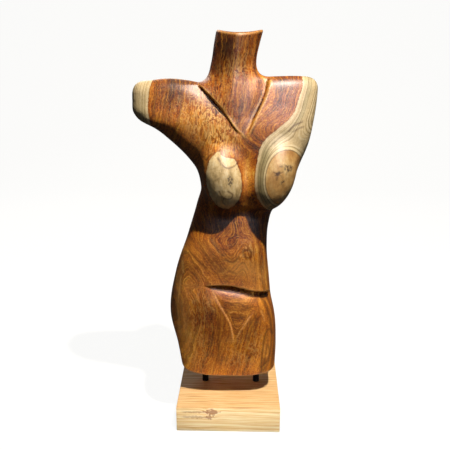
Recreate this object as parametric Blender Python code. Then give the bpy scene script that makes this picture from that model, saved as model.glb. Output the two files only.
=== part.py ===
"""A carved hardwood torso that stands on two steel pins above a pale block plinth.

Metres, +Z up, the figure faces -Y. The origin is the centre of the plinth's underside.
The torso's own form is written in shares of its height. Everything that fits is in metres.
"""
import math

import bmesh
import bpy
import numpy as np

# Driving sizes in metres
PLINTH_WIDTH = 0.216
PLINTH_DEPTH = 0.220
PLINTH_HEIGHT = 0.0555
PLINTH_EASED_EDGE = 0.0015
TORSO_GAP = 0.043
TORSO_HEIGHT = 0.702
PIN_DIAMETER = 0.014
PIN_SPACING = 0.114
PIN_OFFSET_X = 0.0035
PIN_IN_PLINTH = 0.030
PIN_IN_TORSO = 0.045
FIT_GAP = 0.0003

TORSO_BASE = PLINTH_HEIGHT + TORSO_GAP
PIN_PLACES = (PIN_OFFSET_X - PIN_SPACING / 2, PIN_OFFSET_X + PIN_SPACING / 2)
ROUGH_VOXEL = 0.004
TORSO_FACES = 7000
ROUND_SIDES = 24

# Outlines of the torso as (share of height, offset as a share of height)
LEFT_SIDE = [
    (-0.05, -0.138), (0.00, -0.146), (0.09, -0.159), (0.20, -0.178), (0.32, -0.159),
    (0.44, -0.121), (0.53, -0.094), (0.585, -0.0805), (0.62, -0.0885), (0.665, -0.119),
    (0.71, -0.165), (0.745, -0.211), (0.765, -0.250), (0.782, -0.266), (0.82, -0.272),
    (0.86, -0.270), (0.90, -0.262),
]
RIGHT_SIDE = [
    (-0.05, 0.142), (0.00, 0.143), (0.10, 0.145), (0.17, 0.141), (0.24, 0.127),
    (0.32, 0.1180), (0.41, 0.110), (0.47, 0.113), (0.52, 0.126), (0.58, 0.160),
    (0.64, 0.195), (0.70, 0.220), (0.76, 0.233), (0.83, 0.2425), (0.87, 0.2445),
    (0.91, 0.2430),
]
FRONT_LINE = [
    (-0.05, -0.076), (0.00, -0.081), (0.10, -0.102), (0.20, -0.122), (0.27, -0.128),
    (0.33, -0.122), (0.41, -0.118), (0.47, -0.104), (0.52, -0.092), (0.60, -0.094),
    (0.70, -0.104), (0.76, -0.097), (0.82, -0.077), (0.88, -0.054), (0.92, -0.044),
]
BACK_LINE = [
    (-0.05, 0.076), (0.00, 0.081), (0.10, 0.105), (0.20, 0.118), (0.30, 0.100),
    (0.42, 0.068), (0.55, 0.080), (0.70, 0.098), (0.80, 0.094), (0.88, 0.074),
    (0.92, 0.066),
]
SQUARENESS = [
    (-0.05, 3.6), (0.00, 3.6), (0.20, 3.1), (0.45, 3.1), (0.62, 3.0), (0.74, 3.4), (0.92, 3.4),
]

# The line of the shoulders as (offset across, share of height)
SHOULDER_LINE = [
    (-0.30, 0.864), (-0.262, 0.872), (-0.235, 0.872), (-0.17, 0.878), (-0.12, 0.873),
    (-0.075, 0.865), (0.00, 0.866), (0.07, 0.879), (0.14, 0.884), (0.20, 0.884),
    (0.234, 0.881), (0.27, 0.876),
]
SHOULDER_ROUNDING = 0.034

# The neck as (share of height, left edge, right edge)
NECK_SIDES = [
    (0.78, -0.070, 0.080), (0.86, -0.063, 0.077), (0.903, -0.0555, 0.0735),
    (0.93, -0.0495, 0.0735), (0.97, -0.0435, 0.0815), (1.004, -0.0370, 0.0905),
    (1.04, -0.0300, 0.1000),
]
NECK_FRONT = -0.066
NECK_BACK = 0.066
NECK_SQUARENESS = 1.6
NECK_BLEND = 0.040
NECK_TOP = 1.007
NECK_TOP_DIP = 0.009
NECK_TOP_SLOPE = 0.105
EDGE_ROUNDING = 0.010
LOWER_CORNER_ROUNDING = 0.016


def smoothstep(edge_low, edge_high, value):
    """0 below edge_low, 1 above edge_high and a smooth ramp between."""
    t = np.clip((value - edge_low) / (edge_high - edge_low), 0.0, 1.0)
    return t * t * (3.0 - 2.0 * t)


def through(points, where, column=1):
    """A smooth curve through (position, value) points, read at each position in where."""
    table = np.array(points)
    knots, values = table[:, 0], table[:, column]
    slopes = np.gradient(values, knots)
    left = np.clip(np.searchsorted(knots, where) - 1, 0, len(knots) - 2)
    span = knots[left + 1] - knots[left]
    t = np.clip((where - knots[left]) / span, 0.0, 1.0)
    rise = values[left] * (1 + 2 * t) * (1 - t) ** 2 + values[left + 1] * t * t * (3 - 2 * t)
    lean = slopes[left] * t * (1 - t) ** 2 - slopes[left + 1] * t * t * (1 - t)
    return rise + lean * span


def blend_out(first, second, width):
    """The union of two solids with a fillet of about that width."""
    h = np.clip(0.5 + 0.5 * (second - first) / width, 0.0, 1.0)
    return second * (1 - h) + first * h - width * h * (1 - h)


def blend_in(first, second, width):
    """What two solids share, with the edge between them rounded to about that width."""
    return -blend_out(-first, -second, width)


def oval_section(x, y, left, right, front, back, squareness):
    """Roughly the distance outside an oval that spans left to right and front to back."""
    half_x = (right - left) / 2
    middle_y = (front + back) / 2
    half_y = (back - front) / 2
    across = np.abs(x - (left + right) / 2) / half_x
    along = np.abs(y - middle_y) / half_y
    reach = (across ** squareness + along ** squareness) ** (1 / squareness) + 1e-6
    steep_x = across ** (squareness - 1) / half_x
    steep_y = along ** (squareness - 1) / half_y
    return (reach - 1) * reach ** (squareness - 1) / (np.hypot(steep_x, steep_y) + 1e-6)


def trunk(x, y, z):
    """Hips, waist, chest and the two arm stumps, below the line of the shoulders."""
    skin = oval_section(
        x, y, through(LEFT_SIDE, z), through(RIGHT_SIDE, z),
        through(FRONT_LINE, z), through(BACK_LINE, z), through(SQUARENESS, z),
    )
    top = z - through(SHOULDER_LINE, x)
    return blend_in(skin, top, SHOULDER_ROUNDING)


def neck(x, y, z):
    """The neck, with a soft ridge down its front and a hollowed cut across its top."""
    skin = oval_section(
        x, y, through(NECK_SIDES, z, 1), through(NECK_SIDES, z, 2),
        NECK_FRONT, NECK_BACK, NECK_SQUARENESS,
    )
    middle = (NECK_SIDES[5][1] + NECK_SIDES[5][2]) / 2
    half = (NECK_SIDES[5][2] - NECK_SIDES[5][1]) / 2
    hollow = NECK_TOP_DIP * (1 - ((x - middle) / half) ** 2)
    top = z - (NECK_TOP + NECK_TOP_SLOPE * y - hollow)
    foot = NECK_SIDES[0][0] - z
    return np.maximum(blend_in(skin, top, EDGE_ROUNDING), foot)


def breast(x, y, z, centre, radii, turn, lean, cut):
    """An egg that leans and turns, with its tip cut to a nearly flat oval."""
    dx, dy, dz = x - centre[0], y - centre[1], z - centre[2]
    c, s = math.cos(turn), math.sin(turn)
    side, out = c * dx + s * dy, s * dx - c * dy
    c, s = math.cos(lean), math.sin(lean)
    side, up = c * side - s * dz, s * side + c * dz
    a, b, h = radii
    reach = np.sqrt((side / a) ** 2 + (out / b) ** 2 + (up / h) ** 2) + 1e-6
    steep = np.sqrt((side / a ** 2) ** 2 + (out / b ** 2) ** 2 + (up / h ** 2) ** 2) + 1e-6
    egg = (reach - 1) * reach / steep
    return blend_in(egg, out - cut, 0.040)


LEFT_BREAST = dict(
    centre=(-0.015, -0.070, 0.612), radii=(0.058, 0.092, 0.092),
    turn=math.radians(-4), lean=math.radians(-8), cut=0.083,
)
RIGHT_BREAST = dict(
    centre=(0.112, -0.064, 0.618), radii=(0.062, 0.092, 0.100),
    turn=math.radians(25), lean=math.radians(18), cut=0.084,
)
BREAST_BLEND = 0.032

# The carved V below the neck: ends of its two lines as (across, share of height)
V_TIP = (0.040, 0.728)
V_LEFT = (-0.070, 0.843)
V_RIGHT = (0.112, 0.838)
V_LEFT_DEPTH = 0.020
V_RIGHT_DEPTH = 0.014
V_BULGE = 0.010
V_EDGE = 0.007


def beside_line(x, z, start, end):
    """(distance to the left of a line seen from the front, share of the way along it)."""
    along = np.array([end[0] - start[0], end[1] - start[1]])
    length = np.hypot(*along)
    along = along / length
    t = ((x - start[0]) * along[0] + (z - start[1]) * along[1]) / length
    side = (x - start[0]) * along[1] - (z - start[1]) * along[0]
    return side, t


def neckline_relief(x, z):
    """How far the chest stands out or sinks in around the carved V."""
    left_side, left_t = beside_line(x, z, V_TIP, V_LEFT)
    right_side, right_t = beside_line(x, z, V_TIP, V_RIGHT)
    outside_left = np.maximum(-left_side, 0)
    inside_left = smoothstep(-V_EDGE, V_EDGE, left_side)
    hollow = (1 - inside_left) * np.exp(-((outside_left / 0.045) ** 2))
    hollow *= smoothstep(0.05, 0.55, left_t) * (1 - smoothstep(0.85, 1.15, left_t))
    inside_right = np.maximum(-right_side, 0)
    groove = smoothstep(-V_EDGE, V_EDGE, -right_side) * np.exp(-((inside_right / 0.026) ** 2))
    groove *= smoothstep(-0.05, 0.25, right_t) * (1 - smoothstep(0.90, 1.25, right_t))
    middle = np.exp(-(((x - 0.034) / 0.040) ** 2)) * smoothstep(0.70, 0.80, z)
    bulge = middle * inside_left * (1 - smoothstep(0.86, 0.93, z))
    return V_BULGE * bulge - V_LEFT_DEPTH * hollow - V_RIGHT_DEPTH * groove


# The ledge that joins the breasts where they end below
LEDGE_MIDDLE = 0.048
LEDGE_HALF_WIDTH = 0.034
LEDGE_STEP = 0.012


def ledge_relief(x, z):
    """A low ledge between the two breasts that ends level with their undersides."""
    across = np.exp(-(((x - LEDGE_MIDDLE) / LEDGE_HALF_WIDTH) ** 2))
    return LEDGE_STEP * across * smoothstep(0.520, 0.542, z) * (1 - smoothstep(0.565, 0.640, z))


# The groin lines as (share of height, offset across)
GROIN_LEFT = [(0.13, 0.014), (0.17, 0.011), (0.20, 0.005), (0.235, -0.014), (0.27, -0.033), (0.31, -0.052)]
GROIN_RIGHT = [(0.13, 0.018), (0.145, 0.0235), (0.17, 0.034), (0.20, 0.051), (0.225, 0.067), (0.25, 0.085)]
GROIN_STEP = 0.005


def groin_relief(x, z):
    """The thighs stand a little proud of the mound along two lines that meet below it."""
    left = (through(GROIN_LEFT, z) - x) * 0.87
    right = (x - through(GROIN_RIGHT, z)) * 0.84
    left_run = smoothstep(0.12, 0.16, z) * (1 - smoothstep(0.25, 0.29, z))
    right_run = smoothstep(0.12, 0.16, z) * (1 - smoothstep(0.205, 0.25, z))
    left_thigh = smoothstep(-V_EDGE, V_EDGE, left) * np.exp(-((np.maximum(left, 0) / 0.050) ** 2))
    right_thigh = smoothstep(-V_EDGE, V_EDGE, right) * np.exp(-((np.maximum(right, 0) / 0.040) ** 2))
    return GROIN_STEP * (left_thigh * left_run + right_thigh * right_run)


# The body's middle line as (share of height, offset across), and the furrows cut on it behind
MIDDLE_LINE = [
    (0.0, 0.0), (0.15, 0.010), (0.30, 0.015), (0.45, 0.028), (0.62, 0.040), (0.75, 0.036),
    (0.90, 0.025),
]
SPINE_DEPTH = 0.009
SEAT_DEPTH = 0.011


def back_relief(x, z):
    """A shallow spine furrow and a short cleft below it."""
    off = x - through(MIDDLE_LINE, z)
    spine = np.exp(-((off / 0.030) ** 2)) * smoothstep(0.30, 0.42, z) * (1 - smoothstep(0.78, 0.90, z))
    cleft = np.exp(-((off / 0.018) ** 2)) * smoothstep(0.04, 0.12, z) * (1 - smoothstep(0.17, 0.28, z))
    return -SPINE_DEPTH * spine - SEAT_DEPTH * cleft


# The crease under the belly as (across, share of height) of its upper lip
CREASE_LINE = [
    (-0.11, 0.306), (-0.055, 0.309), (-0.018, 0.3115), (0.0085, 0.310), (0.027, 0.3055),
    (0.047, 0.2995), (0.067, 0.2925), (0.085, 0.2865), (0.103, 0.279), (0.119, 0.268),
    (0.16, 0.250),
]
CREASE_DEPTH = 0.018
CREASE_OPEN = 0.042
LIP_ROUNDING = 0.009


def creased(skin, x, y, z):
    """The skin with the belly's lip standing over the rounded top of the mound."""
    lip = through(CREASE_LINE, x)
    reach = smoothstep(-0.075, 0.0, x) * (1 - smoothstep(-0.05, 0.01, y))
    down = np.clip((lip - z) / CREASE_OPEN, 0.0, 1.0)
    mound = skin + CREASE_DEPTH * reach * (1 - down) ** 2.2
    belly = blend_in(skin, lip - z, LIP_ROUNDING)
    return np.minimum(belly, mound)


def torso_field(points):
    """Roughly the distance outside the torso's skin, in shares of its height."""
    x, y, z = points.T
    front = 1 - smoothstep(-0.03, 0.0, y)
    chest = (neckline_relief(x, z) + ledge_relief(x, z)) * front
    relief = chest + groin_relief(x, z) * front + back_relief(x, z) * smoothstep(0.0, 0.03, y)
    skin = blend_out(trunk(x, y, z) - relief, neck(x, y, z) - chest * 0.6, NECK_BLEND)
    for form in (LEFT_BREAST, RIGHT_BREAST):
        skin = blend_out(skin, breast(x, y, z, **form), BREAST_BLEND)
    skin = creased(skin, x, y, z)
    corners = EDGE_ROUNDING + LOWER_CORNER_ROUNDING * smoothstep(0.05, 0.13, np.abs(x))
    return blend_in(skin, -z, corners)


def metres(points):
    """Points in shares of the torso's height, as metres in the part's frame."""
    return points * TORSO_HEIGHT + np.array([0.0, 0.0, TORSO_BASE])


def shares(points):
    """Points in metres, as shares of the torso's height above its base."""
    return (points - np.array([0.0, 0.0, TORSO_BASE])) / TORSO_HEIGHT


def lofted(bm, levels, ring_at, sides):
    """Extrudes one ring of points up through the levels and caps both ends."""
    first = bmesh.ops.create_circle(bm, segments=sides, radius=1.0)["verts"]
    edges = list({edge for vert in first for edge in vert.link_edges})
    for vert, place in zip(first, ring_at(levels[0], sides)):
        vert.co = place
    bm.faces.new(first).normal_flip()
    ring = first
    for level in levels[1:]:
        raised = bmesh.ops.extrude_edge_only(bm, edges=edges)["geom"]
        edges = [item for item in raised if isinstance(item, bmesh.types.BMEdge)]
        edges = [edge for edge in edges if not any(v in ring for v in edge.verts)]
        fresh = {vert for edge in edges for vert in edge.verts}
        ring = [follow(vert, fresh) for vert in ring]
        for vert, place in zip(ring, ring_at(level, sides)):
            vert.co = place
    bm.faces.new(ring)


def follow(vert, fresh):
    """The new vertex that was extruded from vert."""
    for edge in vert.link_edges:
        other = edge.other_vert(vert)
        if other in fresh:
            return other
    raise ValueError("the ring was not extruded")


def oval_ring(left, right, front, back, height, sides):
    """Points round an oval that spans left to right and front to back, in metres."""
    turns = np.arange(sides) * (2 * math.pi / sides)
    x = (left + right) / 2 + (right - left) / 2 * np.cos(turns)
    y = (front + back) / 2 + (back - front) / 2 * np.sin(turns)
    return metres(np.column_stack([x, y, np.full(sides, height)]))


def trunk_ring(level, sides):
    """A ring a little inside the trunk's skin, at one share of the height."""
    at = np.array([level])
    sizes = [float(through(line, at)[0]) for line in (LEFT_SIDE, RIGHT_SIDE, FRONT_LINE, BACK_LINE)]
    return oval_ring(*sizes, level, sides)


def neck_ring(level, sides):
    """A ring on the neck's skin, at one share of the height."""
    at = np.array([level])
    left, right = float(through(NECK_SIDES, at, 1)[0]), float(through(NECK_SIDES, at, 2)[0])
    return oval_ring(left, right, NECK_FRONT, NECK_BACK, level, sides)


def front_at(across, level):
    """Where the trunk's front lies at one place across and one share of the height."""
    at = np.array([level])
    left, right, front, back, squareness = (
        float(through(line, at)[0])
        for line in (LEFT_SIDE, RIGHT_SIDE, FRONT_LINE, BACK_LINE, SQUARENESS)
    )
    away = min(abs(2 * across - left - right) / (right - left), 0.98)
    return (front + back) / 2 - (back - front) / 2 * (1 - away ** squareness) ** (1 / squareness)


def saw_ring(across, sides):
    """The saw cut that opens the crease, as a triangle at one place across the front."""
    lip = float(through(CREASE_LINE, np.array([across]))[0])
    front = front_at(across, lip)
    y = np.array([front + CREASE_DEPTH, front - 0.1, front - 0.1])
    z = np.array([lip, lip + 0.002, lip - 3 * CREASE_OPEN])
    return metres(np.column_stack([np.full(sides, across), y, z]))


def solid(forms):
    """One mesh of closed forms, each a (levels, ring function, sides) loft."""
    bm = bmesh.new()
    for levels, ring_at, sides in forms:
        lofted(bm, list(levels), ring_at, sides)
    bmesh.ops.recalc_face_normals(bm, faces=bm.faces[:])
    mesh = bpy.data.meshes.new("rough")
    bm.to_mesh(mesh)
    bm.free()
    return mesh


def sawn_trunk():
    """The roughed-out trunk with the crease sawn into its front."""
    block = cutter("block", solid([(np.linspace(0.0, 0.86, 44), trunk_ring, 48)]))
    saw = cutter("saw", solid([(np.linspace(-0.05, 0.16, 22), saw_ring, 3)]))
    subtract(block, saw)
    graph = bpy.context.evaluated_depsgraph_get()
    mesh = bpy.data.meshes.new_from_object(block.evaluated_get(graph))
    for thing in (block, saw):
        bpy.data.objects.remove(thing)
    return mesh


def rough_torso():
    """The roughed-out torso: trunk, neck and breasts as overlapping closed forms."""
    bm = bmesh.new()
    bm.from_mesh(sawn_trunk())
    lofted(bm, list(np.linspace(0.80, 1.0, 8)), neck_ring, 32)
    for form in (LEFT_BREAST, RIGHT_BREAST):
        egg = bmesh.ops.create_uvsphere(bm, u_segments=24, v_segments=16, radius=TORSO_HEIGHT)
        bmesh.ops.scale(bm, vec=form["radii"], verts=egg["verts"])
        bmesh.ops.translate(bm, vec=metres(np.array(form["centre"])), verts=egg["verts"])
    bmesh.ops.recalc_face_normals(bm, faces=bm.faces[:])
    mesh = bpy.data.meshes.new("rough")
    bm.to_mesh(mesh)
    bm.free()
    return mesh


def fused(mesh, voxel):
    """One even skin round overlapping forms."""
    block = bpy.data.objects.new("fusing", mesh)
    bpy.context.scene.collection.objects.link(block)
    remesh = block.modifiers.new("fuse", "REMESH")
    remesh.mode = "VOXEL"
    remesh.voxel_size = voxel
    graph = bpy.context.evaluated_depsgraph_get()
    skin = bpy.data.meshes.new_from_object(block.evaluated_get(graph))
    bpy.data.objects.remove(block)
    return skin


def carve(mesh, field, rounds, step):
    """Moves every vertex onto the field's zero surface, evening the mesh between moves."""
    count = len(mesh.vertices)
    flat = np.empty(count * 3)
    mesh.vertices.foreach_get("co", flat)
    points = shares(flat.reshape(-1, 3))
    ends = np.empty(len(mesh.edges) * 2, dtype=np.int64)
    mesh.edges.foreach_get("vertices", ends)
    a, b = ends.reshape(-1, 2).T
    valence = np.bincount(a, minlength=count) + np.bincount(b, minlength=count)
    for turn in range(rounds):
        if turn < rounds - 3:
            mean = np.zeros_like(points)
            np.add.at(mean, a, points[b])
            np.add.at(mean, b, points[a])
            points += 0.5 * (mean / valence[:, None] - points)
        points = onto_surface(points, field, step)
    mesh.vertices.foreach_set("co", metres(points).ravel())
    mesh.update()


def onto_surface(points, field, step):
    """One Newton step towards the field's zero surface."""
    here = field(points)
    slope = np.empty_like(points)
    for axis in range(3):
        nudge = np.zeros(3)
        nudge[axis] = step
        slope[:, axis] = (field(points + nudge) - field(points - nudge)) / (2 * step)
    size = np.maximum((slope ** 2).sum(1), 0.05)
    move = -(here / size)[:, None] * slope
    reach = np.linalg.norm(move, axis=1, keepdims=True)
    return points + move * np.minimum(1.0, 0.03 / np.maximum(reach, 1e-9))


def surface(name, colour, roughness, metallic=0.0):
    """A plain material of that linear colour."""
    material = bpy.data.materials.new(name)
    material.use_nodes = True
    shader = material.node_tree.nodes["Principled BSDF"]
    shader.inputs["Base Color"].default_value = (*colour, 1.0)
    shader.inputs["Roughness"].default_value = roughness
    shader.inputs["Metallic"].default_value = metallic
    return material


def placed(name, mesh, material):
    """A named object of that mesh and material."""
    thing = bpy.data.objects.new(name, mesh)
    thing.data.materials.append(material)
    bpy.context.scene.collection.objects.link(thing)
    return thing


def cutter(name, mesh):
    """A solid that only cuts: it is neither rendered nor handed over."""
    thing = bpy.data.objects.new(name, mesh)
    thing.hide_render = True
    thing.display_type = "WIRE"
    bpy.context.scene.collection.objects.link(thing)
    return thing


def subtract(thing, tool):
    """Cuts the tool's solid out of thing."""
    cut = thing.modifiers.new(tool.name, "BOOLEAN")
    cut.operation = "DIFFERENCE"
    cut.solver = "EXACT"
    cut.object = tool


def rods(radius, bottom, top, places):
    """Upright round rods of that radius at each place across, as one mesh."""
    bm = bmesh.new()
    for across in places:
        rod = bmesh.ops.create_cone(
            bm, cap_ends=True, segments=ROUND_SIDES, radius1=radius, radius2=radius, depth=top - bottom,
        )
        bmesh.ops.translate(bm, vec=(across, 0.0, (top + bottom) / 2), verts=rod["verts"])
    mesh = bpy.data.meshes.new("rods")
    bm.to_mesh(mesh)
    bm.free()
    return mesh


def torso(material):
    """The carved torso as one solid, with a bore in its base for each pin."""
    mesh = fused(rough_torso(), ROUGH_VOXEL)
    carve(mesh, torso_field, 14, 0.0008)
    body = placed("torso", mesh, material)
    thin = body.modifiers.new("fewer_faces", "DECIMATE")
    thin.ratio = TORSO_FACES / (2 * len(mesh.polygons))
    bore = PIN_DIAMETER / 2 + FIT_GAP
    bores = rods(bore, TORSO_BASE - 0.01, TORSO_BASE + PIN_IN_TORSO, PIN_PLACES)
    subtract(body, cutter("torso_bores", bores))


def plinth(material):
    """The block plinth with its edges eased and a bore for each pin."""
    bm = bmesh.new()
    bmesh.ops.create_cube(bm, size=1.0)
    bmesh.ops.scale(bm, vec=(PLINTH_WIDTH, PLINTH_DEPTH, PLINTH_HEIGHT), verts=bm.verts[:])
    bmesh.ops.translate(bm, vec=(0.0, 0.0, PLINTH_HEIGHT / 2), verts=bm.verts[:])
    bmesh.ops.bevel(
        bm, geom=bm.edges[:], offset=PLINTH_EASED_EDGE, segments=2, profile=0.5,
        affect="EDGES", material=-1,
    )
    mesh = bpy.data.meshes.new("plinth")
    bm.to_mesh(mesh)
    bm.free()
    block = placed("plinth", mesh, material)
    bore = PIN_DIAMETER / 2 + FIT_GAP
    bores = rods(bore, PLINTH_HEIGHT - PIN_IN_PLINTH, PLINTH_HEIGHT + 0.01, PIN_PLACES)
    subtract(block, cutter("plinth_bores", bores))


def pins(material):
    """Two steel pins that carry the torso above the plinth."""
    bottom = PLINTH_HEIGHT - PIN_IN_PLINTH + FIT_GAP
    top = TORSO_BASE + PIN_IN_TORSO - FIT_GAP
    for name, place in zip(("left_pin", "right_pin"), PIN_PLACES):
        placed(name, rods(PIN_DIAMETER / 2, bottom, top, [place]), material)


def main():
    for thing in list(bpy.data.objects):
        bpy.data.objects.remove(thing)
    torso(surface("oiled_heartwood", (0.26, 0.09, 0.02), 0.35))
    plinth(surface("pale_softwood", (0.75, 0.52, 0.28), 0.55))
    pins(surface("blued_steel", (0.05, 0.06, 0.08), 0.40, 1.0))


main()
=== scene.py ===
"""Looks of a carved hardwood torso on two steel pins above a pale block plinth.

Metres, +Z up, the figure faces -Y. The torso's form is written in shares of its height.
"""
import functools
import math

import bmesh
import bpy
import numpy as np
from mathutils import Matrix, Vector


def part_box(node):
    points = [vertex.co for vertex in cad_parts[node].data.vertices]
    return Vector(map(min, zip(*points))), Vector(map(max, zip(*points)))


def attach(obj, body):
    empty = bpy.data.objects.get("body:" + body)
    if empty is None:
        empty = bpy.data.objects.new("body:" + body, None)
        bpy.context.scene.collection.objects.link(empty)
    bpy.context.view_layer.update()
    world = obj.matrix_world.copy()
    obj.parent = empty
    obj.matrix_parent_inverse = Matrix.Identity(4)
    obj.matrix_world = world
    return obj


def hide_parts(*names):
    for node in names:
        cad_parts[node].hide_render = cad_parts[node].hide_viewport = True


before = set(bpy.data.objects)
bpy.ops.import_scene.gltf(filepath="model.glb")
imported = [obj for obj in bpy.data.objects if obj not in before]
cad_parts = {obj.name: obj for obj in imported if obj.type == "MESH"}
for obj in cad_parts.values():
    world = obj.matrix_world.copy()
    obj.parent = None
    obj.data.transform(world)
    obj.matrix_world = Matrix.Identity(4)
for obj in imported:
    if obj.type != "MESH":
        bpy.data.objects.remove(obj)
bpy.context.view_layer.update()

# Sizes in metres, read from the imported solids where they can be
TORSO_LOW, TORSO_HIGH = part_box("torso")
PLINTH_LOW, PLINTH_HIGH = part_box("plinth")
TORSO_BASE = TORSO_LOW.z
TORSO_HEIGHT = 0.702
CARVING_VOXEL = 0.0021
CARVING_ROUNDS = 7
CARVING_STEP = 0.0005
CARVING_TRIANGLES = 190000
FIT_GAP = 0.0003
PLINTH_EASED_EDGE = 0.0016
PIN_EASED_EDGE = 0.0006
PINS = [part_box("left_pin"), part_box("right_pin")]
PIN_PLACES = [(low.x + high.x) / 2 for low, high in PINS]
PIN_RADIUS = (PINS[0][1].x - PINS[0][0].x) / 2
PIN_BOTTOM = PINS[0][0].z
PIN_TOP = PINS[0][1].z

# Outlines of the torso as (share of height, offset as a share of height)
LEFT_SIDE = [
    (-0.05, -0.138), (0.00, -0.146), (0.09, -0.159), (0.20, -0.178), (0.32, -0.159),
    (0.44, -0.121), (0.53, -0.094), (0.585, -0.0805), (0.62, -0.0885), (0.665, -0.119),
    (0.71, -0.165), (0.745, -0.211), (0.765, -0.250), (0.782, -0.266), (0.82, -0.272),
    (0.86, -0.270), (0.90, -0.262),
]
RIGHT_SIDE = [
    (-0.05, 0.142), (0.00, 0.143), (0.10, 0.145), (0.17, 0.141), (0.24, 0.127),
    (0.32, 0.1180), (0.41, 0.110), (0.47, 0.113), (0.52, 0.126), (0.58, 0.160),
    (0.64, 0.195), (0.70, 0.220), (0.76, 0.233), (0.83, 0.2425), (0.87, 0.2445),
    (0.91, 0.2430),
]
FRONT_LINE = [
    (-0.05, -0.076), (0.00, -0.081), (0.10, -0.102), (0.20, -0.122), (0.27, -0.128),
    (0.33, -0.122), (0.41, -0.118), (0.47, -0.104), (0.52, -0.092), (0.60, -0.094),
    (0.70, -0.104), (0.76, -0.097), (0.82, -0.077), (0.88, -0.054), (0.92, -0.044),
]
BACK_LINE = [
    (-0.05, 0.076), (0.00, 0.081), (0.10, 0.105), (0.20, 0.118), (0.30, 0.100),
    (0.42, 0.068), (0.55, 0.080), (0.70, 0.098), (0.80, 0.094), (0.88, 0.074),
    (0.92, 0.066),
]
SQUARENESS = [
    (-0.05, 3.6), (0.00, 3.6), (0.20, 3.1), (0.45, 3.1), (0.62, 3.0), (0.74, 3.4), (0.92, 3.4),
]

# The line of the shoulders as (offset across, share of height)
SHOULDER_LINE = [
    (-0.30, 0.864), (-0.262, 0.872), (-0.235, 0.872), (-0.17, 0.878), (-0.12, 0.873),
    (-0.075, 0.865), (0.00, 0.866), (0.07, 0.879), (0.14, 0.884), (0.20, 0.884),
    (0.234, 0.881), (0.27, 0.876),
]
SHOULDER_ROUNDING = 0.034

# The neck as (share of height, left edge, right edge)
NECK_SIDES = [
    (0.78, -0.070, 0.080), (0.86, -0.063, 0.077), (0.903, -0.0555, 0.0735),
    (0.93, -0.0495, 0.0735), (0.97, -0.0435, 0.0815), (1.004, -0.0370, 0.0905),
    (1.04, -0.0300, 0.1000),
]
NECK_FRONT = -0.066
NECK_BACK = 0.066
NECK_SQUARENESS = 1.6
NECK_BLEND = 0.040
NECK_TOP = 1.007
NECK_TOP_DIP = 0.009
NECK_TOP_SLOPE = 0.105
EDGE_ROUNDING = 0.0065
LOWER_CORNER_ROUNDING = 0.016
BREAST_CUT_ROUNDING = 0.040


def smoothstep(edge_low, edge_high, value):
    """0 below edge_low, 1 above edge_high and a smooth ramp between."""
    t = np.clip((value - edge_low) / (edge_high - edge_low), 0.0, 1.0)
    return t * t * (3.0 - 2.0 * t)


def fall(edge_low, edge_high, value):
    """1 below edge_low, 0 above edge_high and a smooth ramp between."""
    return 1 - smoothstep(edge_low, edge_high, value)


def bell(value, width):
    """1 where the value is 0, and almost nothing past twice the width."""
    return np.exp(-((value / width) ** 2))


def through(points, where, column=1):
    """A smooth curve through (position, value) points, read at each position in where."""
    table = np.array(points)
    knots, values = table[:, 0], table[:, column]
    slopes = np.gradient(values, knots)
    left = np.clip(np.searchsorted(knots, where) - 1, 0, len(knots) - 2)
    span = knots[left + 1] - knots[left]
    t = np.clip((where - knots[left]) / span, 0.0, 1.0)
    rise = values[left] * (1 + 2 * t) * (1 - t) ** 2 + values[left + 1] * t * t * (3 - 2 * t)
    lean = slopes[left] * t * (1 - t) ** 2 - slopes[left + 1] * t * t * (1 - t)
    return rise + lean * span


def blend_out(first, second, width):
    """The union of two solids with a fillet of about that width."""
    h = np.clip(0.5 + 0.5 * (second - first) / width, 0.0, 1.0)
    return second * (1 - h) + first * h - width * h * (1 - h)


def blend_in(first, second, width):
    """What two solids share, with the edge between them rounded to about that width."""
    return -blend_out(-first, -second, width)


def oval_section(x, y, left, right, front, back, squareness):
    """Roughly the distance outside an oval that spans left to right and front to back."""
    half_x = (right - left) / 2
    middle_y = (front + back) / 2
    half_y = (back - front) / 2
    across = np.abs(x - (left + right) / 2) / half_x
    along = np.abs(y - middle_y) / half_y
    reach = (across ** squareness + along ** squareness) ** (1 / squareness) + 1e-6
    steep_x = across ** (squareness - 1) / half_x
    steep_y = along ** (squareness - 1) / half_y
    return (reach - 1) * reach ** (squareness - 1) / (np.hypot(steep_x, steep_y) + 1e-6)


def trunk(x, y, z):
    """Hips, waist, chest and the two arm stumps, below the line of the shoulders."""
    skin = oval_section(
        x, y, through(LEFT_SIDE, z), through(RIGHT_SIDE, z),
        through(FRONT_LINE, z), through(BACK_LINE, z), through(SQUARENESS, z),
    )
    top = z - through(SHOULDER_LINE, x)
    return blend_in(skin, top, SHOULDER_ROUNDING)


def neck(x, y, z):
    """The neck, with a soft ridge down its front and a hollowed cut across its top."""
    skin = oval_section(
        x, y, through(NECK_SIDES, z, 1), through(NECK_SIDES, z, 2),
        NECK_FRONT, NECK_BACK, NECK_SQUARENESS,
    )
    middle = (NECK_SIDES[5][1] + NECK_SIDES[5][2]) / 2
    half = (NECK_SIDES[5][2] - NECK_SIDES[5][1]) / 2
    hollow = NECK_TOP_DIP * (1 - ((x - middle) / half) ** 2)
    top = z - (NECK_TOP + NECK_TOP_SLOPE * y - hollow)
    foot = NECK_SIDES[0][0] - z
    return np.maximum(blend_in(skin, top, EDGE_ROUNDING), foot)


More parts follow.
